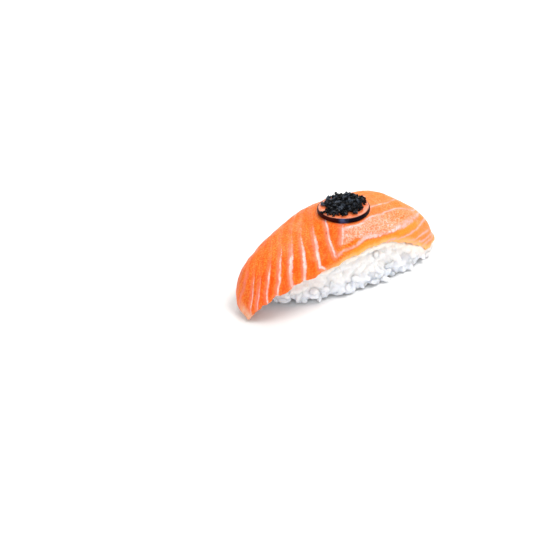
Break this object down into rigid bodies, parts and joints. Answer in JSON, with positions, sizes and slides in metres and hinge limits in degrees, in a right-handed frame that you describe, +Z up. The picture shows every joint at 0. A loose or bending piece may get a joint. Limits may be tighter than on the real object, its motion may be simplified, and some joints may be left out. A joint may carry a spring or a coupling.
{
  "type": "salmon nigiri",
  "caption": "Nigiri sushi: hand-pressed rice under a draped salmon slice, topped with a dark-skinned fruit slice and black crumbs.",
  "frame": {"origin": "middle of the bounding box at its underside, where the rice rests", "axes": "+X along the piece towards its blunter raised end, +Y towards the back, +Z up; the pointed low tip of the salmon is at -X"},
  "size_m": [0.0842, 0.0316, 0.031],
  "materials": {
    "cooked_rice": "moist white cooked rice, softly glossy and slightly translucent; ceramic stands in for food",
    "salmon_flesh": "moist raw salmon, orange with pale fat lines; leather stands in for food",
    "fruit_flesh": "wet translucent flesh with a glossy near-black skin round the rim; leather stands in for food",
    "black_crumb": "dry near-black crumbs with small highlights; leather stands in for food"
  },
  "bodies": {
    "root": {"rice": "cooked_rice", "salmon": "salmon_flesh", "fruit_slice": "fruit_flesh", "crumbs": "black_crumb"}
  },
  "joints": []
}
